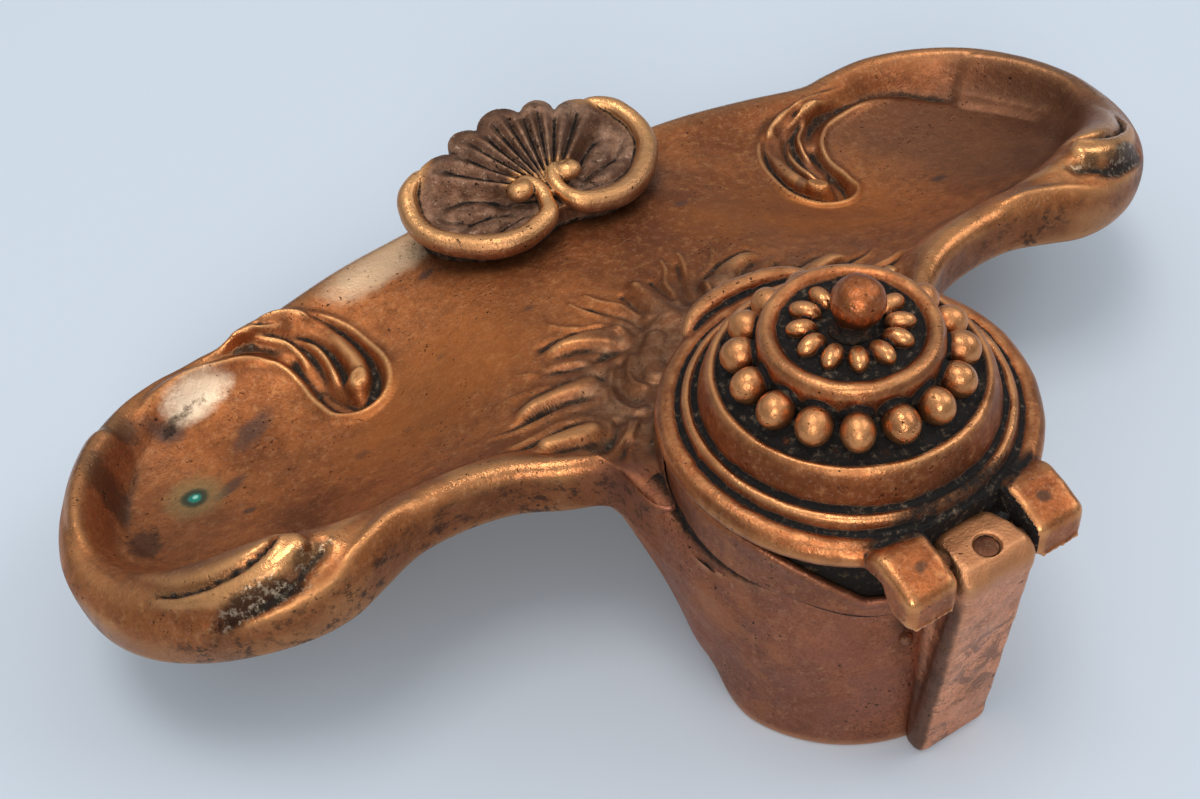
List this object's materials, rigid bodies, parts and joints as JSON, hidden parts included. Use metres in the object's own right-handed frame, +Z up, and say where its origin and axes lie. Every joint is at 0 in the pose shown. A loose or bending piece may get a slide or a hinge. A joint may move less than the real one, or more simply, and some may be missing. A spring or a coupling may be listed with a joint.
{
  "type": "desk inkstand",
  "caption": "Cast copper desk inkstand: a crescent pen tray with a shell ornament and a round inkwell under a hinged, beaded lid.",
  "frame": {"origin": "centre of the inkwell cup's foot, on the table", "axes": "+Z up, +X along the tray, -Y towards the writer and the shell, +Y towards the lid's hinge"},
  "size_m": [0.2242, 0.1488, 0.0788],
  "materials": {
    "cast_copper": "cast copper, rubbed and patinated",
    "dull_copper": "cast copper, dull pinkish brown",
    "rubbed_copper": "cast copper, polished by handling",
    "liner_glass": "moulded clear glass"
  },
  "bodies": {
    "stand": {"pen_tray": "cast_copper", "shell_mount": "rubbed_copper", "cup_collar": "cast_copper", "inkwell_cup": "dull_copper", "ink_liner": "liner_glass", "hinge_post": "dull_copper", "post_plug": "dull_copper", "hinge_pin": "dull_copper", "front_foot_left": "cast_copper", "front_foot_right": "cast_copper"},
    "lid": {"lid": "rubbed_copper", "finial": "rubbed_copper"}
  },
  "joints": [
    {"name": "lid_hinge", "type": "hinge", "parent": "stand", "child": "lid", "pos_m": [0, 0.032, 0.048], "axis": [-1, 0, 0], "range_deg": [0, 120]}
  ]
}
